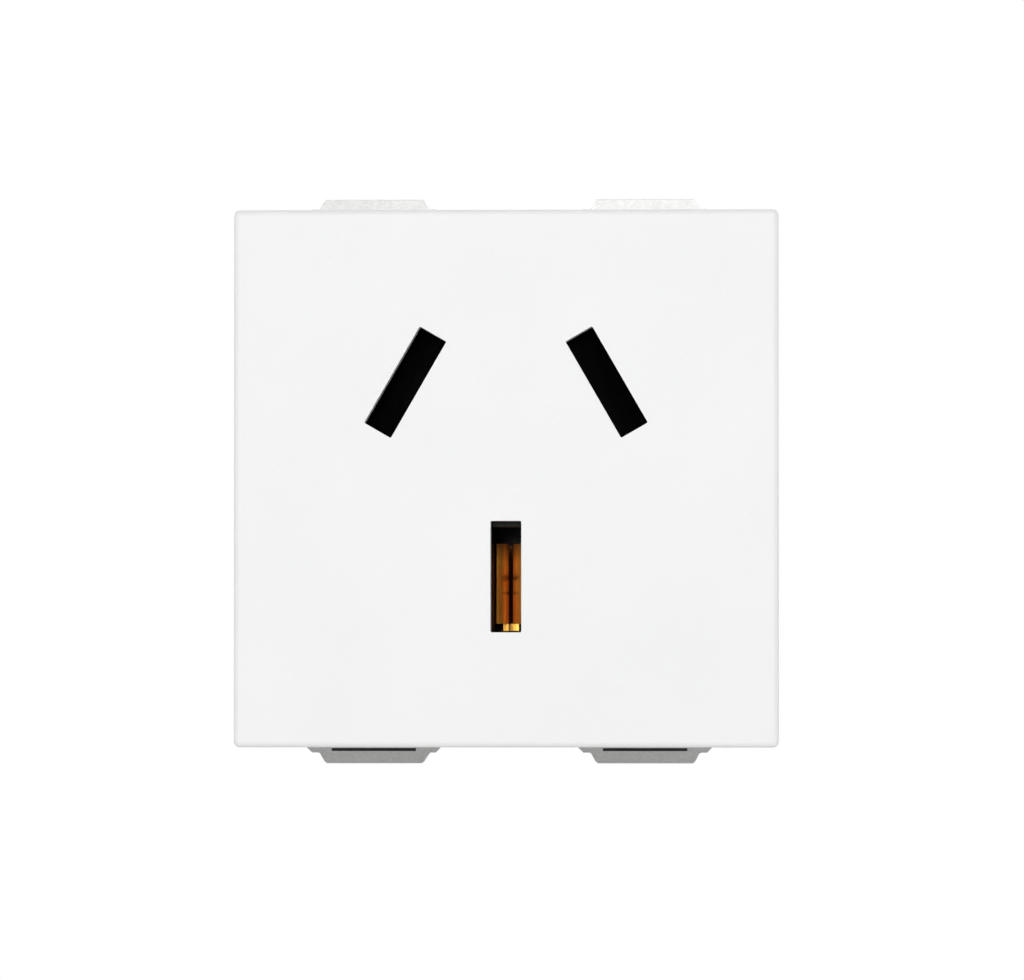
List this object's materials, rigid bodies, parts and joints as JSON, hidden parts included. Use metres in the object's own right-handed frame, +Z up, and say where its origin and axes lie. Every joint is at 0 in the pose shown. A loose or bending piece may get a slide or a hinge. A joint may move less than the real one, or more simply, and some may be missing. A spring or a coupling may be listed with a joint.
{
  "type": "socket outlet",
  "caption": "Square white snap-in socket outlet for flat-pin plugs, with shuttered line slots, brass contacts, screw terminals behind and sprung steel clips above and below.",
  "frame": {"origin": "centre of the front face, where a plug seats", "axes": "-Y out of the front face, +X to the right as the face is seen, +Z up with the earth slot below"},
  "size_m": [0.045, 0.036, 0.0474],
  "materials": {
    "cover_white": "satin moulded",
    "body_black": "fine moulded",
    "shutter_black": "smooth moulded",
    "contact_brass": "rolled strip",
    "terminal_brass": "extruded and drilled",
    "plated_steel": "zinc plated",
    "clip_steel": "rolled spring strip",
    "spring_wire": "drawn wire"
  },
  "bodies": {
    "root": {"front_cover": "cover_white", "inner_cover": "body_black", "rear_housing": "body_black", "shutter_spring": "spring_wire", "live_contact": "contact_brass", "live_terminal": "terminal_brass", "neutral_contact": "contact_brass", "neutral_terminal": "terminal_brass", "earth_contact": "contact_brass", "earth_terminal": "terminal_brass", "left_housing_screw": "plated_steel", "top_left_clip": "clip_steel", "bottom_left_clip": "clip_steel", "right_housing_screw": "plated_steel", "top_right_clip": "clip_steel", "bottom_right_clip": "clip_steel"},
    "shutter": {"shutter": "shutter_black"},
    "live_terminal_screw": {"live_terminal_screw": "plated_steel"},
    "neutral_terminal_screw": {"neutral_terminal_screw": "plated_steel"},
    "earth_terminal_screw": {"earth_terminal_screw": "plated_steel"}
  },
  "joints": [
    {"name": "shutter_slide", "type": "slide", "parent": "root", "child": "shutter", "axis": [0, 0, -1], "range_m": [0, 0.006], "stiffness_N_per_m": 60, "springref_m": -0.004, "deforming": ["shutter_spring"]},
    {"name": "live_clamp", "type": "slide", "parent": "root", "child": "live_terminal_screw", "axis": [1, 0, 0], "range_m": [0, 0.0028]},
    {"name": "neutral_clamp", "type": "slide", "parent": "root", "child": "neutral_terminal_screw", "axis": [-1, 0, 0], "range_m": [0, 0.0028]},
    {"name": "earth_clamp", "type": "slide", "parent": "root", "child": "earth_terminal_screw", "axis": [0, 0, 1], "range_m": [0, 0.0028]}
  ]
}
